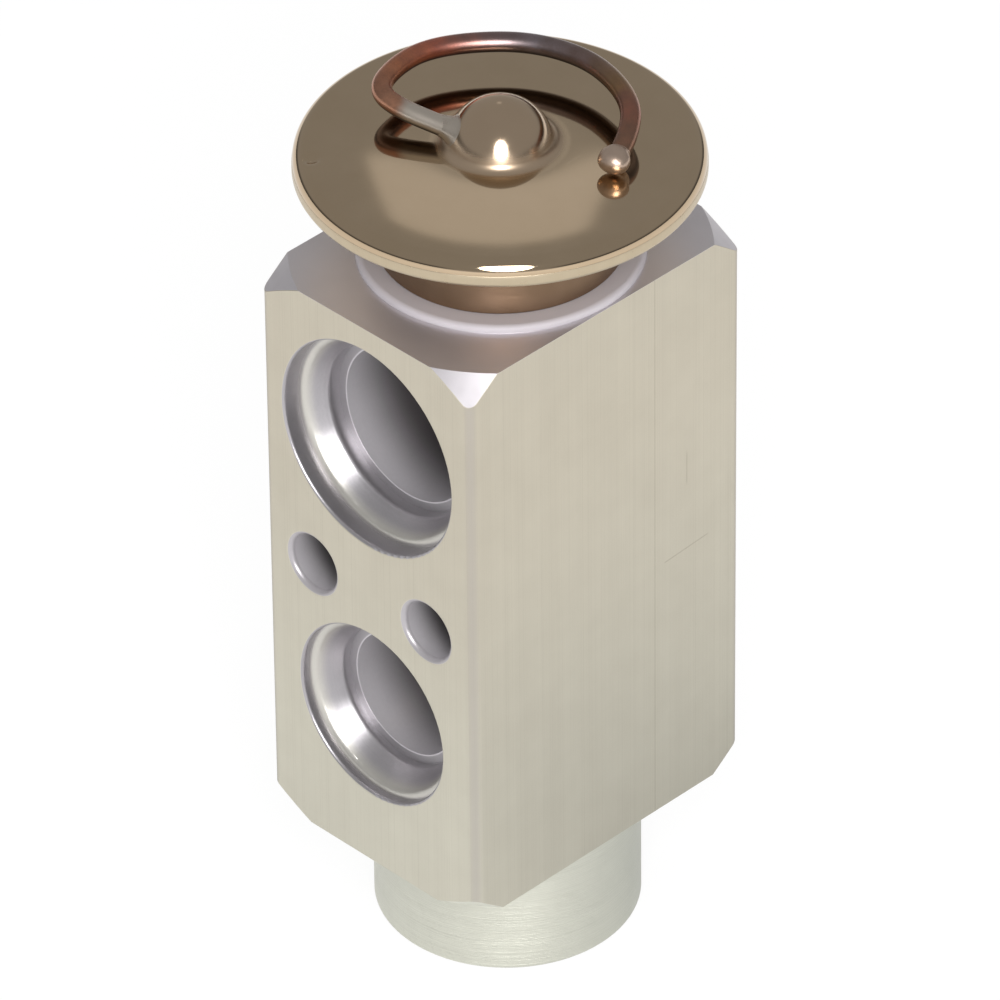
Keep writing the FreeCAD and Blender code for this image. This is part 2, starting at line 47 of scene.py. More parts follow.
# Camera: a long lens looking down at the corner between the pipe face and the plain side face.
# Its place and turn were fitted to the block's corners and the rims of the boss and the head.
right = np.array([0.70748, 0.706677, -0.008881])
upward = np.array([-0.415464, 0.426037, 0.803668])
backward = np.array([0.571717, -0.564889, 0.595012])
eye = np.array([591.26, -584.68, 661.17]) * MM
view = bpy.data.cameras.new("camera")
view.sensor_width = 36.0
view.lens = 403.3
view.clip_end = 20.0
camera = bpy.data.objects.new("camera", view)
bpy.context.scene.collection.objects.link(camera)
turn = np.eye(4)
turn[:3, 0], turn[:3, 1], turn[:3, 2], turn[:3, 3] = right, upward, backward, eye
camera.matrix_world = Matrix(turn.tolist())
bpy.context.scene.camera = camera
bpy.context.scene.view_settings.view_transform = "Standard"


# Valve block: drawn aluminium bar, sawn and turned at both ends, with its ports and bores cut by
# form tools. The bar's faces keep fine lines from the drawing die; the cuts keep turning marks.
class Line:
    """A value on its way through a material. Arithmetic on it adds Math nodes."""

    def __init__(self, tree, socket=None):
        self.tree = tree
        self.socket = socket

    def add(self, kind, settings=None, sockets=None, out=0):
        """Adds a node of a kind, sets it up, then fills its sockets with values or lines."""
        node = self.tree.nodes.new("ShaderNode" + kind)
        for name, value in (settings or {}).items():
            if name == "stops":
                band = node.color_ramp.elements
                while len(band) < len(value):
                    band.new(0.5)
                for stop, (place, colour) in zip(band, value):
                    stop.position = place
                    stop.color = (*colour, 1.0)
            else:
                setattr(node, name, value)
        for name, value in (sockets or {}).items():
            if isinstance(value, Line):
                self.tree.links.new(value.socket, node.inputs[name])
            elif isinstance(value, tuple) and len(value) == 3 and node.inputs[name].type == "RGBA":
                node.inputs[name].default_value = (*value, 1.0)
            else:
                node.inputs[name].default_value = value
        return Line(self.tree, node.outputs[out] if node.outputs else None)

    def output(self, name):
        """Another output of the node that this line comes from."""
        return Line(self.tree, self.socket.node.outputs[name])

    def maths(self, operation, *values):
        """Math node with this line as its first value."""
        return self.add("Math", {"operation": operation}, dict(enumerate((self, *values))))

    def __add__(self, other):
        return self.maths("ADD", other)

    def __sub__(self, other):
        return self.maths("SUBTRACT", other)

    def __mul__(self, other):
        return self.maths("MULTIPLY", other)

    def __truediv__(self, other):
        return self.maths("DIVIDE", other)

    def __rsub__(self, other):
        return self.add("Math", {"operation": "SUBTRACT"}, {0: other, 1: self})

    __radd__ = __add__
    __rmul__ = __mul__

    def between(self, low, high):
        """Smooth step: 0 below low, 1 above high."""
        return self.add(
            "MapRange", {"interpolation_type": "SMOOTHSTEP"},
            {"Value": self, "From Min": low, "From Max": high}, "Result",
        )

    def blend(self, first, second):
        """Colour that goes from first to second as this line goes from 0 to 1."""
        return self.add(
            "Mix", {"data_type": "RGBA", "clamp_factor": True}, {0: self, 6: first, 7: second}, 2,
        )

    def length(self, *others):
        """Root of the sum of the squares of this line and others."""
        total = self * self
        for other in others:
            total = total + other * other
        return total.maths("SQRT")


def start_finish(name):
    """New material with a bare tree, the place on the piece in millimetres, and its three parts."""
    made = bpy.data.materials.new(name)
    made.use_nodes = True
    made.node_tree.nodes.clear()
    spot = Line(made.node_tree).add("TexCoord", out="Object")
    place = spot.add("VectorMath", {"operation": "SCALE"}, {0: spot, "Scale": 1 / MM})
    x = place.add("SeparateXYZ", None, {"Vector": place}, "X")
    return made, place, x, x.output("Y"), x.output("Z")


def speckle(place, scale, detail=3.0, stretch=None):
    """Noise from 0 to 1. Small numbers in stretch draw it out along those axes."""
    if stretch:
        place = place.add("VectorMath", {"operation": "MULTIPLY"}, {0: place, 1: stretch})
    return place.add("TexNoise", None, {"Vector": place, "Scale": scale, "Detail": detail}, "Fac")


def marks(way, detail=3.0):
    """Noise along one measure, such as a distance from an axis, for the marks that a tool leaves."""
    return way.add("TexNoise", {"noise_dimensions": "1D"}, {"W": way, "Detail": detail}, "Fac")


def close_finish(colour, roughness, relief=None, relief_mm=0.01, metallic=1.0):
    """Surface shader of the material. relief is a height from 0 to 1 that is relief_mm tall."""
    sockets = {"Base Color": colour, "Roughness": roughness, "Metallic": metallic}
    if relief is not None:
        sockets["Normal"] = relief.add(
            "Bump", None, {"Height": relief, "Distance": relief_mm * MM, "Strength": 1.0}, "Normal"
        )
    shader = colour.add("BsdfPrincipled", None, sockets)
    colour.add("OutputMaterial", None, {"Surface": shader})


def merged_copy(node, body, finish, sharp=32.0):
    """Copy of a CAD node with its loose triangles joined, its imported normals dropped and its
    tangent faces shaded smooth. It takes the node's place on its body."""
    piece = bpy.data.objects.new(node + "_metal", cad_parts[node].data.copy())
    bpy.context.scene.collection.objects.link(piece)
    for stale in ("custom_normal", "sharp_edge", "sharp_face"):
        if stale in piece.data.attributes:
            piece.data.attributes.remove(piece.data.attributes[stale])
    work = bmesh.new()
    work.from_mesh(piece.data)
    bmesh.ops.remove_doubles(work, verts=work.verts, dist=2e-6)
    work.to_mesh(piece.data)
    work.free()
    piece.data.polygons.foreach_set("use_smooth", np.ones(len(piece.data.polygons), bool))
    piece.data.set_sharp_from_angle(angle=math.radians(sharp))
    even = piece.modifiers.new("even_normals", "WEIGHTED_NORMAL")
    even.weight = 100
    even.keep_sharp = True
    stands_for(piece, node, body, finish)
    return piece


def stands_for(piece, node, body, finish):
    """The piece takes a CAD node's place on its body, in one material."""
    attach(piece, body)
    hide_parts(node)
    piece.data.materials.clear()
    piece.data.materials.append(finish)


HALF_WIDTH, HALF_DEPTH, LONG_EDGE = 13.5, 17.5, 1.0
BLOCK_LOW, BLOCK_HIGH = 13.0, 74.0
SUCTION_HEIGHT, INLET_HEIGHT, OUTLET_HEIGHT = 60.6, 30.2, 33.2
BOLT_HEIGHT, BOLT_SIDE = 43.7, 7.4
BORE_REACH, SUCTION_STEP = 6.3, 1.5
DIE_LINE = 6.17
aluminium, place, x, y, z = start_finish("block_aluminium")
# The bar's own skin: within a few hundredths of its faces and rounded long edges
over_x = (x.maths("ABSOLUTE") - (HALF_WIDTH - LONG_EDGE)).maths("MAXIMUM", 0.0)
over_y = (y.maths("ABSOLUTE") - (HALF_DEPTH - LONG_EDGE)).maths("MAXIMUM", 0.0)
skin_depth = over_x.length(over_y)
above_low_end = z.between(BLOCK_LOW + 0.01, BLOCK_LOW + 0.03)
in_bar = above_low_end * (1 - z.between(BLOCK_HIGH - 0.03, BLOCK_HIGH - 0.01))
drawn = skin_depth.between(LONG_EDGE - 0.06, LONG_EDGE - 0.02) * in_bar
cut = 1 - drawn
# Distances from the axes of the holes that open on the pipe face and the face behind it
suction = x.length(z - SUCTION_HEIGHT)
lower = x.length(z - INLET_HEIGHT - y.between(-1, 1) * (OUTLET_HEIGHT - INLET_HEIGHT))
bolt = (x.maths("ABSOLUTE") - BOLT_SIDE).length(z - BOLT_HEIGHT)
near_suction = 1 - suction.between(11.6, 11.8)
near_lower = 1 - lower.between(10.2, 10.4)
near_bolt = 1 - bolt.between(3.8, 4.0)
bored = cut * in_bar * (near_suction + near_lower + near_bolt).maths("MINIMUM", 1.0)
bore_reach = near_suction * suction + near_lower * lower + near_bolt * bolt
depth = HALF_DEPTH - y.maths("ABSOLUTE")
# By depth under the face: the flat ring in each port, painted shade deep inside the bores, painted shade on
# the holes' lips
ledge = near_suction * depth.between(1.86, 1.94) * (1 - depth.between(2.0, 3.0)) + (
    near_lower * depth.between(0.96, 1.04) * (1 - depth.between(1.2, 2.4))
)
# Painted shade: darker with depth in the screw holes and in the bores
painted_bore_shade = near_bolt * depth.between(0.8, 4.4) + (1 - near_bolt) * depth.between(5.5, 12.5)
# Painted shade on the screw holes' lips
painted_bolt_lip_shade = near_bolt * (1 - depth.between(0.4, 0.7))
boss = 1 - z.between(20, 22)
collar = z.between(BLOCK_HIGH + 0.02, BLOCK_HIGH + 0.06)
radius = x.length(y)
# Lines and bands along the bar from the die, then the few long scratches on the side face
die_lines = speckle(place, 1.0, 4.0, (5.0, 5.0, 0.03))
die_bands = speckle(place, 1.0, 2.0, (0.55, 0.55, 0.01))
grain = speckle(place, 9.0, 5.0)
clouds = speckle(place, 0.12, 2.0)
smudge = speckle(place, 0.35, 5.0)
deep_lines = marks((x + y * 1.37) * 1.6, 1.0).between(0.66, 0.70)
die_line = x.between(0, 1) * (1 - (y - DIE_LINE).maths("ABSOLUTE").between(0.02, 0.09))
NICK_HEIGHT, NICK_START, NICK_RISE = 41.4, 7.4, 0.057
nick_drop = (z - NICK_HEIGHT - (y - NICK_START) * NICK_RISE).maths("ABSOLUTE")
nick_reach = y.between(NICK_START - 0.1, NICK_START + 0.2) * (1 - y.between(12.8, 13.5))
nick = x.between(0, 1) * nick_reach * (1 - nick_drop.between(0.03, 0.10))
SCUFF_LINE = 10.36
scuff_side = (y - SCUFF_LINE).maths("ABSOLUTE")
scuff_reach = z.between(48.6, 49.4) * (1 - z.between(52.0, 53.0))
scuff = x.between(0, 1) * (1 - scuff_side.between(0.03, 0.12)) * scuff_reach
scored = drawn * (deep_lines * 0.35 + die_line * 0.8 + nick * 0.9 + scuff * 0.7).maths("MINIMUM", 1.0)
# Tool marks: rings on the turned ends, feed grooves round the boss, rings in the bores
ring_marks = marks(radius * 7.0 + z * 7.0)
feed_marks = marks(z * 2.4, 2.0).between(0.3, 0.7)
bore_marks = marks(bore_reach * 8.0 + y * 6.0)
tool_marks = bored * bore_marks + (1 - bored) * ring_marks
tool_grain = speckle(place, 3.0, 4.0)
relief = drawn * (die_lines * 0.28 + die_bands * 0.5 + grain * 0.16 - scored * 0.9) + cut * (
    tool_marks * 0.9 + tool_grain * 0.2 + boss * feed_marks * 2.5
)
# Tones: the bar's faces are warmer at the top and cooler below, with painted shade along the long edges and
# painted light and shade low on the side faces; the turned ends, the boss and the bores each have their own
face_mix = die_lines * 0.2 + die_bands * 0.25 + clouds * 0.3 + smudge * 0.25
# Painted light and shade low on the side faces: darker low on the plain side face, lighter low on the pipe
# face
painted_low_side_light_and_shade = (x.between(12, 13) * 0.3 - (0 - y).between(16, 17) * 0.9) * (1 - z.between(18, 55))
# Painted shade along the rounded long edges
corner = over_x.maths("MINIMUM", over_y).between(0.0, 0.65)
face_mix = face_mix - painted_low_side_light_and_shade * 0.3 - scored * 0.5
upper_tone = face_mix.blend((0.52, 0.475, 0.385), (0.68, 0.63, 0.52))
lower_tone = face_mix.blend((0.51, 0.480, 0.400), (0.67, 0.645, 0.545))
face_tone = (corner * 0.42).blend(z.between(20, 68).blend(lower_tone, upper_tone), (0.36, 0.33, 0.32))
end_tone = (tool_marks * 0.7 + smudge * 0.3 + collar * 0.6).blend((0.58, 0.55, 0.57), (0.72, 0.69, 0.72))
boss_mix = tool_marks * 0.2 + feed_marks * 0.5 + smudge * 0.3
boss_tone = boss_mix.blend((0.60, 0.60, 0.52), (0.76, 0.76, 0.67))
in_pipe_bore = 1 - (bore_reach - near_suction * SUCTION_STEP).between(BORE_REACH + 0.05, BORE_REACH + 0.2)
bore_mix = tool_marks * 0.6 + tool_grain * 0.4
bore_wall = bore_mix.blend((0.38, 0.365, 0.38), (0.48, 0.46, 0.48))
bore_tone = in_pipe_bore.blend(bore_wall, bore_mix.blend((0.60, 0.575, 0.60), (0.73, 0.70, 0.73)))
bore_tone = ledge.blend(bore_tone, bore_mix.blend((0.56, 0.54, 0.50), (0.66, 0.64, 0.59)))
# Painted shade: the bores darken towards near black with depth, and the screw holes' lips a little
bore_tone = (painted_bore_shade * 0.92 + painted_bolt_lip_shade * 0.4).blend(bore_tone, (0.07, 0.06, 0.06))
tone = drawn.blend(bored.blend(boss.blend(end_tone, boss_tone), bore_tone), face_tone)
roughness = drawn * (0.42 + grain * 0.12 + scored * 0.15) + cut * (
    0.36 + tool_marks * 0.1 + collar * 0.42 - bored * 0.07
)
close_finish(tone, roughness, relief, 0.006, 0.92 - cut * 0.08 - bored * in_pipe_bore * 0.34)
merged_copy("valve_block", "valve", aluminium)


# Power head: two shells pressed from thin stainless sheet and welded round the edge, with a small
# charging dome in the middle. The sheet is bright from annealing, so it mirrors what is round it.
def rounded(corners, steps=10):
    """Outline through corners (radius, height, rounding), each rounded corner an arc that is
    tangent to both of its sides: centre on the bisector at rounding / sin(half the angle)."""
    corners = [tuple(c) + (0.0,) * (3 - len(c)) for c in corners]
    spots = np.array([c[:2] for c in corners])
    arcs = []
    for i, (spot, rounding) in enumerate(zip(spots, (c[2] for c in corners))):
        before = spots[i - 1] - spot
        after = spots[(i + 1) % len(spots)] - spot
        before /= np.linalg.norm(before)
        after /= np.linalg.norm(after)
        angle = math.acos(max(-1.0, min(1.0, float(before @ after))))
        if rounding < 1e-6 or angle > math.pi - 1e-6:
            arcs.append(spot[None, :])
            continue
        bisector = (before + after) / np.linalg.norm(before + after)
        centre = spot + bisector * rounding / math.sin(angle / 2)
        foot = spot + before * rounding / math.tan(angle / 2) - centre
        other = spot + after * rounding / math.tan(angle / 2) - centre
        sweep = np.linspace(0, 1, steps)[:, None]
        span = math.pi - angle
        swung = np.sin((1 - sweep) * span) * foot + np.sin(sweep * span) * other
        arcs.append(centre + swung / math.sin(span))
    return np.vstack(arcs)


def dense(outline, gap):
    """The closed outline with extra points, so that none of its runs is longer than gap."""
    after = np.roll(outline, -1, axis=0)
    counts = np.maximum(np.ceil(np.linalg.norm(after - outline, axis=1) / gap).astype(int), 1)
    index = np.repeat(np.arange(len(outline)), counts)
    part = (np.arange(counts.sum()) - np.repeat(np.cumsum(counts) - counts, counts)) / counts[index]
    return outline[index] + (after - outline)[index] * part[:, None]


def skin(name, points, faces, sharp=40.0):
    """Mesh object from points in millimetres and faces, smooth except at sharp edges."""
    mesh = bpy.data.meshes.new(name)
    mesh.from_pydata((points * MM).tolist(), [], faces.tolist() if hasattr(faces, "tolist") else faces)
    mesh.validate()
    piece = bpy.data.objects.new(name, mesh)
    bpy.context.scene.collection.objects.link(piece)
    work = bmesh.new()
    work.from_mesh(mesh)
    bmesh.ops.remove_doubles(work, verts=work.verts, dist=1e-7)
    bmesh.ops.recalc_face_normals(work, faces=work.faces)
    work.to_mesh(mesh)
    work.free()
    mesh.polygons.foreach_set("use_smooth", np.ones(len(mesh.polygons), bool))
    mesh.set_sharp_from_angle(angle=math.radians(sharp))
    return piece


def grid_faces(rows, columns, close_rows=False, close_columns=True):
    """Quads of a grid of points, row by row, closed round either way."""
    r = np.arange(rows if close_rows else rows - 1)[:, None]
    c = np.arange(columns if close_columns else columns - 1)[None, :]
    nr, nc = (r + 1) % rows, (c + 1) % columns
    quads = np.stack([r * columns + c, r * columns + nc, nr * columns + nc, nr * columns + c], axis=-1)
    return quads.reshape(-1, 4)


def lathe(name, outline, turns=256, shape=None):
    """Closed outline (radius, height) turned about Z: x = r cos a, y = r sin a. shape may move the
    points, given as an array of outline by turns by 3."""
    a = np.linspace(0, 2 * math.pi, turns, endpoint=False)
    r, h = outline[:, 0][:, None], outline[:, 1][:, None]
    points = np.stack([r * np.cos(a), r * np.sin(a), h + 0 * a], axis=-1)
    if shape is not None:
        points = shape(points)
    return skin(name, points.reshape(-1, 3), grid_faces(len(outline), turns, close_rows=True))


def sheet_outline(line_over, thickness, top_round, low_round, steps=10):
    """Outline of a sheet of even thickness below an open line from the axis to the rim."""
    spots = np.array([c[:2] for c in line_over], float)
    rounds = [(tuple(c) + (0.0,))[2] for c in line_over]
    runs = np.diff(spots, axis=0)
    runs /= np.linalg.norm(runs, axis=1)[:, None]
    before = np.vstack([runs[:1], runs])
    after = np.vstack([runs, runs[-1:]])
    normals = np.stack([before[:, 1] + after[:, 1], -before[:, 0] - after[:, 0]], axis=1)
    normals /= np.linalg.norm(normals, axis=1)[:, None]
    reach = thickness / (normals[:, 0] * before[:, 1] - normals[:, 1] * before[:, 0])
    low = spots + normals * reach[:, None]
    bend = before[:, 0] * after[:, 1] - before[:, 1] * after[:, 0]
    low_rounds = [max(r + math.copysign(thickness, b), 0.0) if r > 0 else 0.0 for r, b in zip(rounds, bend)]
    over = [(x, z, r) for (x, z), r in zip(spots, rounds)]
    under = [(x, z, r) for (x, z), r in zip(low, low_rounds)]
    over[-1] = over[-1][:2] + (top_round,)
    under[-1] = under[-1][:2] + (low_round,)
    return rounded(over + under[::-1], steps)


SEAM = 84.05
HEAD_RADIUS = 18.8
SHEET = 0.85
SHOULDER, SHOULDER_ROUND = 85.45, 1.35
CROWN = 85.87
DOME_RADIUS = 5.0
DOME_TOP = 90.15
DOME_MIDDLE = DOME_TOP - DOME_RADIUS
DOME_FILLET = 1.0
steel, place, x, y, z = start_finish("head_steel")
radius = x.length(y)
haze = speckle(place, 0.25)
fine = speckle(place, 6.0, 4.0)
spun = marks(radius * 4.0)
scuffs = speckle(place, 1.0, 5.0, (2.5, 0.25, 0.25)).between(0.66, 0.74)
on_dome = 1 - radius.between(5.2, 6.2)
foot = radius.between(4.2, 4.9) * (1 - radius.between(5.6, 6.6))
sheet_tone = (haze * 0.7 + scuffs * 0.15 + fine * 0.15).blend((0.53, 0.405, 0.27), (0.61, 0.475, 0.33))
dome_tone = haze.blend((0.58, 0.44, 0.31), (0.64, 0.49, 0.35))
close_finish(
    on_dome.blend(sheet_tone, dome_tone), 0.045 + haze * 0.02 + scuffs * 0.03 + on_dome * 0.08 + foot * 0.2,
    fine * 0.5 + spun * 0.5, 0.0003,
)

draft = math.asin((CROWN + DOME_FILLET - DOME_MIDDLE) / (DOME_RADIUS + DOME_FILLET)) + 0.01
dome_corner = DOME_RADIUS * math.tan(math.pi / 4 - draft / 2)
dome_foot = dome_corner + (DOME_TOP - CROWN) * math.tan(draft)
crown_start = dome_foot + 1.2 * DOME_FILLET
crown_span = HEAD_RADIUS - SHOULDER_ROUND - crown_start
crown_radius = crown_span * (crown_span / 2 + SHOULDER_ROUND) / (CROWN - SHOULDER)


def sheet_height(radius):
    """Height of the sheet round the dome: flat, then an arc, drop = (radius - start)^2 / 2R."""
    return CROWN - np.maximum(radius - crown_start, 0) ** 2 / (2 * crown_radius)


upper_outline = sheet_outline([
    (0, DOME_TOP),
    (dome_corner, DOME_TOP, DOME_RADIUS),
    (dome_foot, CROWN, DOME_FILLET),
    (crown_start + crown_span / 2, CROWN, crown_radius),
    (HEAD_RADIUS, SHOULDER, SHOULDER_ROUND),
    (HEAD_RADIUS, SEAM),
], SHEET, 0.1, 0.1, 24)


DIMPLE_ANGLE, DIMPLE_REACH, DIMPLE_HALF, DIMPLE_DEPTH = math.radians(232.0), 17.1, 0.95, 0.35


def dimpled(points):
    """Round dimple near the rim: height falls by its depth times (1 - (d / half width)^2)^1.3."""
    px, py = points[..., 0], points[..., 1]
    middle_x, middle_y = DIMPLE_REACH * math.cos(DIMPLE_ANGLE), DIMPLE_REACH * math.sin(DIMPLE_ANGLE)
    away = np.hypot(px - middle_x, py - middle_y)
    top = points[..., 2] > sheet_height(np.hypot(px, py)) - 0.5
    points[..., 2] -= top * DIMPLE_DEPTH * np.clip(1 - (away / DIMPLE_HALF) ** 2, 0, None) ** 1.3
    return points


upper = lathe("upper_shell_steel", dense(upper_outline, 0.3), 288, dimpled)
stands_for(upper, "upper_shell", "valve", steel)

lower_outline = sheet_outline([
    (7.21, 81.03), (12.5, 81.03, 0.8), (16.6, 83.93, 1.2), (HEAD_RADIUS, 83.93),
], SHEET, 0.15, 0.15)
lower = lathe("lower_shell_steel", dense(lower_outline, 0.5), 256)
stands_for(lower, "lower_shell", "valve", steel)


# Weld round the head's edge: the two shells and the diaphragm fused by a beam into one smooth pale
# band with fine ripples across it, a little proud of the sheet.
weld_finish, place, x, y, z = start_finish("weld_steel")
ripple = marks(y.maths("ARCTAN2", x) * 60.0)
stain = speckle(place, 0.8)
weld_tone = (ripple * 0.4 + stain * 0.6).blend((0.49, 0.40, 0.275), (0.61, 0.52, 0.38))
close_finish(weld_tone, 0.24 + stain * 0.1, ripple, 0.01)
weld_outline = rounded([
    (18.20, 82.96), (18.68, 82.96, 0.16), (18.86, 83.30, 0.4),
    (18.85, 83.95, 0.6), (18.81, 84.16, 0.05), (18.20, 84.16),
])
weld = lathe("rim_weld_bead", weld_outline, 360)
stands_for(weld, "rim_weld", "valve", weld_finish)


# Neck: a turned ring with a thread that screws into the block's top, joined to the lower shell.
# The heat of that joint has darkened it to a dull brown, with fine tool lines round it.
neck_finish, place, x, y, z = start_finish("neck_metal")
tool_lines = marks(z * 9.0, 2.0)
patches = speckle(place, 0.5)
close_finish(
    (tool_lines * 0.4 + patches * 0.6).blend((0.20, 0.13, 0.077), (0.285, 0.193, 0.128)),
    0.38 + patches * 0.1, tool_lines, 0.008,
)
merged_copy("head_neck", "valve", neck_finish)


# Charging tube: soft copper capillary, brazed into the dome's flank, bent by hand round the head,
# then pinched flat and sealed with solder once the head is filled.
def route_point(angle, radius, height):
    """Point over the head from its plan angle, radius and height above the sheet."""
    a = math.radians(angle)
    return (radius * math.cos(a), radius * math.sin(a), sheet_height(radius) + height)


tube_route = np.array([route_point(*stop) for stop in (
    (231.0, 3.95, 1.33), (211.8, 9.6, 2.3), (203.8, 11.8, 2.9), (188.5, 12.1, 3.1),
    (170.0, 12.4, 3.1), (148.5, 11.8, 3.1), (121.5, 11.8, 3.1), (94.7, 11.8, 3.1),
    (70.6, 11.7, 3.1), (48.7, 12.0, 3.0), (33.6, 11.8, 2.3), (23.1, 11.5, 1.43),
)])
TUBE_RADIUS = 0.95
copper, place, x, y, z = start_finish("copper")
# Heat from the brazing and the sealing left bands of tarnish along the tube; solder has run over
# the last few millimetres before the dome
tarnish = speckle(place, 0.6, 4.0)
drawn_grain = speckle(place, 5.0, 4.0)
turn_share = ((0 - y).maths("ARCTAN2", 0 - x) + math.pi) / (2 * math.pi) + (tarnish - 0.5) * 0.06
band = turn_share.add("ValToRGB", {"stops": [
    (0.060, (0.40, 0.23, 0.14)), (0.125, (0.54, 0.21, 0.14)), (0.180, (0.44, 0.26, 0.11)),
    (0.250, (0.31, 0.22, 0.20)), (0.330, (0.38, 0.34, 0.38)), (0.400, (0.38, 0.24, 0.23)),
    (0.465, (0.76, 0.22, 0.14)), (0.525, (0.84, 0.31, 0.15)), (0.585, (0.74, 0.36, 0.22)),
]}, {"Fac": turn_share})
entry = tube_route[0]
from_entry = (x - float(entry[0])).length(y - float(entry[1]), z - float(entry[2])) + (tarnish - 0.5) * 2.0
tinned = 1 - from_entry.between(4.6, 6.4)
shade = (tarnish * 0.7 + drawn_grain * 0.3).blend((0.16, 0.11, 0.09), band)
under = place.add("Attribute", {"attribute_name": "underside"}, None, "Fac")
# Painted shade: the tube's underside, which faces the sheet, darkens to near black
painted_underside_shade = under.between(0.0, 0.5) * 0.85
tube_tone = painted_underside_shade.blend(tinned.blend(shade, (0.66, 0.59, 0.51)), (0.055, 0.042, 0.040))
close_finish(tube_tone, 0.24 + drawn_grain * 0.08 + tarnish * 0.08, drawn_grain, 0.003)


def bent_line(route, steps=12):
    """Smooth line along a route: between the middles of its runs, with each corner as control,
    (1 - t)^2 a + 2 t (1 - t) corner + t^2 b. It starts and ends straight."""
    middles = (route[1:] + route[:-1]) / 2
    t = np.linspace(0, 1, steps, endpoint=False)[None, :, None]
    a, corner, b = middles[:-1, None], route[1:-1, None], middles[1:, None]
    curve = (1 - t) ** 2 * a + 2 * t * (1 - t) * corner + t ** 2 * b
    lead = route[0] + (middles[0] - route[0]) * np.linspace(0, 1, 6, endpoint=False)[:, None]
    tail = middles[-1] + (route[-1] - middles[-1]) * np.linspace(0, 1, 8)[:, None]
    return np.vstack([lead, curve.reshape(-1, 3), tail])


def tube(name, path, wide, tall, sides=40):
    """Ovals carried along a path, across its direction, wide to the sides and tall upwards, and
    closed at the ends."""
    ahead = np.gradient(path, axis=0)
    ahead /= np.linalg.norm(ahead, axis=1)[:, None]
    across = np.cross(ahead, (0, 0, 1.0))
    across /= np.linalg.norm(across, axis=1)[:, None]
    over = np.cross(across, ahead)
    a = np.linspace(0, 2 * math.pi, sides, endpoint=False)[None, :, None]
    wide, tall = np.asarray(wide, float)[:, None, None], np.asarray(tall, float)[:, None, None]
    points = path[:, None] + wide * np.cos(a) * across[:, None] + tall * np.sin(a) * over[:, None]
    faces = grid_faces(len(path), sides).tolist()
    faces += [list(range(sides))[::-1], list(range((len(path) - 1) * sides, len(path) * sides))]
    piece = skin(name, points.reshape(-1, 3), faces)
    below = piece.data.attributes.new("underside", "FLOAT", "POINT")
    below.data.foreach_set("value", np.tile(np.clip(-np.sin(a[0, :, 0]), 0, 1), len(path)))
    return piece


tube_path = bent_line(tube_route)
radii = np.full(len(tube_path), TUBE_RADIUS)
stands_for(tube("charging_tube", tube_path, radii, radii), "capillary_tube", "valve", copper)


# Joints of the tube: silver braze that has run into a hollow ring round the tube's root on the
# dome, and a drop of solder over its pinched end. Both have set from liquid, so they are smooth.
def flowed_finish(name, low, high, rough):
    """Metal that has run and set: a soft cloud of tone and shallow waves."""
    made, place, *_ = start_finish(name)
    flow = speckle(place, 1.2)
    close_finish(flow.blend(low, high), rough + flow * 0.1, flow, 0.04)
    return made


silver_braze = flowed_finish("silver_braze", (0.58, 0.51, 0.43), (0.69, 0.62, 0.54), 0.24)
tip_solder = flowed_finish("tip_solder", (0.54, 0.40, 0.31), (0.68, 0.54, 0.44), 0.30)
tip_way = tube_route[-1] - tube_route[-2]
tip_way /= np.linalg.norm(tip_way)
DROP_LENGTH, DROP_OVERLAP, DROP_RISE = 2.75, 0.45, 0.4
# t runs along the drop, which swells up to its middle and closes round at its end
t = np.linspace(0, 1, 40)
swell = np.clip(t / 0.5, 0, 1) ** 2 * (3 - 2 * np.clip(t / 0.5, 0, 1))
pinch_path = tube_route[-1] + tip_way * (DROP_LENGTH * t - DROP_OVERLAP)[:, None]
pinch_path[:, 2] += DROP_RISE * swell
close = np.sqrt(np.clip(1 - np.clip((t - 0.55) / 0.45, 0, 1) ** 2.4, 0.0004, 1))
drop_wide, drop_tall = (0.98 + 0.52 * swell) * close, (0.98 + 0.22 * swell) * close
pinch = tube("tube_end_solder", pinch_path, drop_wide, drop_tall, 48)
stands_for(pinch, "capillary_seal", "valve", tip_solder)

tube_way = tube_route[1] - tube_route[0]
tube_way /= np.linalg.norm(tube_way)
tube_side = np.cross(tube_way, (0, 0, 1.0))
tube_side /= np.linalg.norm(tube_side)
tube_over = np.cross(tube_side, tube_way)
dome_centre = np.array([0, 0, DOME_MIDDLE])
# Rings of the braze: 14 over its hollow flank, from the tube out to the dome, and 3 back inside
# the dome's sheet. Its height over the dome falls as (1 - s)^2.8, its edge wanders a little.
FLANK_RINGS, BACK_RINGS, BRAZE_HEIGHT, SUNK = 14, 3, 1.6, 0.12
a = np.linspace(0, 2 * math.pi, 72, endpoint=False)[None, :]
s = np.linspace(0, 1, FLANK_RINGS)
spread = np.concatenate([s, np.linspace(1, 0, BACK_RINGS)])[:, None]
lift = np.concatenate([BRAZE_HEIGHT * (1 - s) ** 2.8 + 0.012, np.full(BACK_RINGS, -SUNK)])[:, None]
wander = 1 + 0.10 * np.sin(2 * a + 0.6) + 0.06 * np.sin(3 * a + 2.0)
reach = 0.89 + spread * 0.64 * wander
outward = np.cos(a)[..., None] * tube_side + np.sin(a)[..., None] * tube_over
away = tube_route[0] + reach[..., None] * outward
along = (away - dome_centre) @ tube_way
to_ball = DOME_RADIUS ** 2 - ((away - dome_centre) ** 2).sum(-1) + along ** 2
depth = np.sqrt(np.clip(to_ball, 0.01, None)) - along
fillet = away + (depth + lift * (1 + 0.15 * np.sin(a + 1.0)))[..., None] * tube_way
braze = skin("dome_braze", fillet.reshape(-1, 3), grid_faces(FLANK_RINGS + BACK_RINGS, 72, close_rows=True))
stands_for(braze, "capillary_braze", "valve", silver_braze)


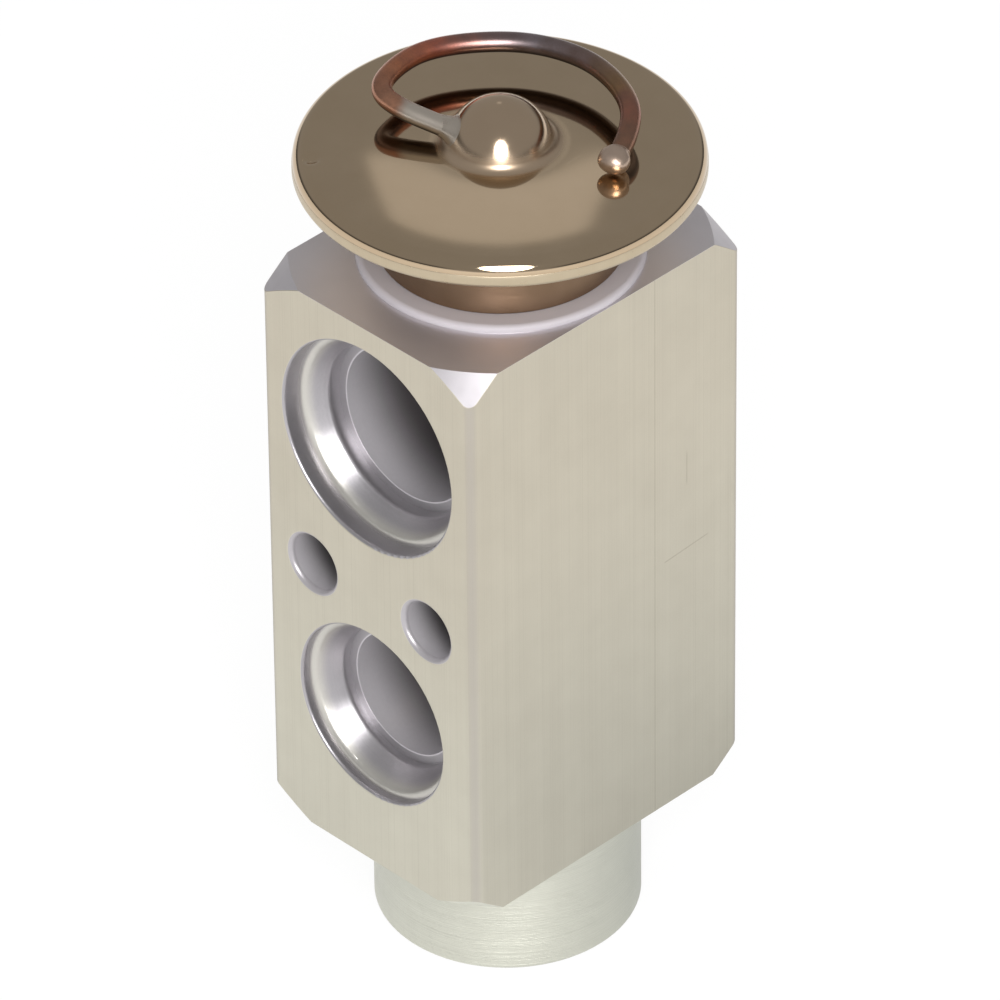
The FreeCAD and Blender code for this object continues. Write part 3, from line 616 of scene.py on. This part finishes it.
# Inside pieces and the adjusting screw: turned brass, ground steel, sprung wire and rubber seals,
# seen through the ports and from below.
def turned_finish(name, low, high, rough, marks_mm=0.006):
    """Turned or drawn metal with rings about the valve's axis."""
    made, place, x, y, z = start_finish(name)
    rings = marks(x.length(y) * 6.0 + z * 7.0)
    cloud = speckle(place, 0.7)
    close_finish((rings * 0.5 + cloud * 0.5).blend(low, high), rough + cloud * 0.1, rings, marks_mm)
    return made


brass = turned_finish("brass", (0.52, 0.38, 0.16), (0.68, 0.52, 0.26), 0.28)
inner_steel = turned_finish("inner_steel", (0.44, 0.43, 0.42), (0.58, 0.57, 0.56), 0.25)
inner_aluminium = turned_finish("inner_aluminium", (0.60, 0.59, 0.58), (0.74, 0.73, 0.72), 0.35)
rubber, place, *_ = start_finish("seal_rubber")
bloom = speckle(place, 1.5, 4.0)
close_finish(bloom.blend((0.012, 0.012, 0.014), (0.03, 0.03, 0.033)), 0.5 + bloom * 0.15, bloom, 0.02, 0.0)
for node, body, slot, finish in (
    ("valve_seat", "valve", "inner_steel", inner_steel),
    ("seal_retainer", "valve", "inner_steel", inner_steel),
    ("diaphragm", "valve", "inner_steel", inner_steel),
    ("valve_ball", "push_rod", "inner_steel", inner_steel),
    ("push_pin", "push_rod", "inner_steel", inner_steel),
    ("ball_carrier", "push_rod", "brass", brass),
    ("sensing_rod", "push_rod", "inner_aluminium", inner_aluminium),
    ("diaphragm_pad", "push_rod", "inner_aluminium", inner_aluminium),
    ("adjusting_screw", "adjuster", "brass", brass),
    ("spring_seat", "spring_rest", "brass", brass),
    ("superheat_spring", "spring_rest", "inner_steel", inner_steel),
    ("rod_seal_ring", "valve", "seal_rubber", rubber),
    ("head_seal_ring", "valve", "seal_rubber", rubber),
    ("screw_seal_ring", "adjuster", "seal_rubber", rubber),
):
    inner = merged_copy(node, body, finish)
    if node == "superheat_spring":
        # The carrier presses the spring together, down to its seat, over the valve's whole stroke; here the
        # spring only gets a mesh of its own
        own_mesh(inner)


# Studio: white sweep under the valve, a tall soft lamp at the camera, and a dim ceiling with one
# paler panel behind the valve, which the head mirrors.
floor_mesh = bpy.data.meshes.new("floor")
floor_mesh.from_pydata([(x, y, -5e-5) for x, y in ((-6, -6), (6, -6), (6, 6), (-6, 6))], [], [(0, 1, 2, 3)])
floor = bpy.data.objects.new("floor", floor_mesh)
bpy.context.scene.collection.objects.link(floor)
paper = bpy.data.materials.new("white_paper")
paper.use_nodes = True
paper.node_tree.nodes.clear()
path = Line(paper.node_tree).add("LightPath", None, None, "Is Camera Ray")
seen = path.maths("MAXIMUM", path.output("Is Transmission Ray"))
seen = seen.maths("MAXIMUM", path.output("Is Glossy Ray") * 0.8)
matt = path.add("BsdfDiffuse", None, {"Color": (0.9, 0.9, 0.9)})
# The metal mirrors the paper as grey where the valve keeps light off it: near the foot at the
# right, and less so at the left, in metres from the axis. To the camera the paper stays white.
spot = path.add("TexCoord", out="Object")
shade_x = spot.add("SeparateXYZ", None, {"Vector": spot}, "X")
shade_reach = (shade_x - 0.018).length(shade_x.output("Y") - 0.022)
left_reach = (shade_x + 0.022).length(shade_x.output("Y") + 0.018)
lit = shade_reach.between(0.004, 0.040) - (1 - left_reach.between(0.004, 0.034)) * 0.35
paper_grey = (path + lit).maths("MINIMUM", 1.0).blend((0.44, 0.46, 0.48), (1.0, 1.0, 1.0))
glow = path.add("Emission", None, {"Color": paper_grey, "Strength": 1.03})
mixed = path.add("MixShader", None, {0: seen * 0.86, 1: matt, 2: glow})
path.add("OutputMaterial", None, {"Surface": mixed})
floor_mesh.materials.append(paper)

world = bpy.data.worlds.new("studio")
bpy.context.scene.world = world
world.use_nodes = True
world.node_tree.nodes.clear()
path = Line(world.node_tree).add("LightPath", None, None, "Is Camera Ray")
east = path.add("SeparateXYZ", None, {"Vector": path.add("TexCoord", out="Generated")}, "X")
north, height = east.output("Y"), east.output("Z")
glossy = path.output("Is Glossy Ray")
to_right = east * 0.703 + north * 0.711
sideways = to_right.maths("ABSOLUTE")
towards_camera = east * 0.711 - north * 0.703
# The paler panel is an oval 0.595 up on the sky's unit sphere, cut off at both sides and below,
# and left out on the camera's side
spread = (to_right / 0.060).length((height - 0.595) / 0.063)
panel = (
    (1 - spread.between(0.96, 1.04)) * height.between(0.573, 0.578) * to_right.between(-0.050, -0.046)
    * (1 - to_right.between(0.037, 0.041)) * (1 - towards_camera.between(-0.2, 0.0))
)
# The ceiling is darker above the horizon, and darker still at both sides
wings = sideways.between(0.3, 0.6) * (1 - height.between(0.06, 0.24))
ceiling = 0.45 - height.between(0.02, 0.2) * 0.11 - wings * 0.33 + panel * 0.31
level = path + (1 - path) * (glossy * ceiling + (1 - glossy) * 0.72)
sky = path.add("Background", None, {"Color": (1.0, 1.0, 1.0), "Strength": level})
path.add("OutputWorld", None, {"Surface": sky})


def lamp(name, spot, aim, width, height, power):
    """Oval soft lamp at a spot in metres, turned to aim, hidden from the camera itself."""
    light = bpy.data.lights.new(name, "AREA")
    light.shape = "ELLIPSE"
    light.size, light.size_y = width, height
    light.energy = power
    piece = bpy.data.objects.new(name, light)
    bpy.context.scene.collection.objects.link(piece)
    away = np.array(spot, float) - np.array(aim, float)
    away /= np.linalg.norm(away)
    side = np.cross((0, 0, 1.0), away)
    side /= np.linalg.norm(side)
    pose = np.eye(4)
    pose[:3, 0], pose[:3, 1], pose[:3, 2], pose[:3, 3] = side, np.cross(away, side), away, spot
    piece.matrix_world = Matrix(pose.tolist())
    piece.visible_camera = False
    return piece


lamp("camera_lamp", (0.525, -0.473, 0.462), (0, 0, 0.086), 0.36, 0.62, 5.6)
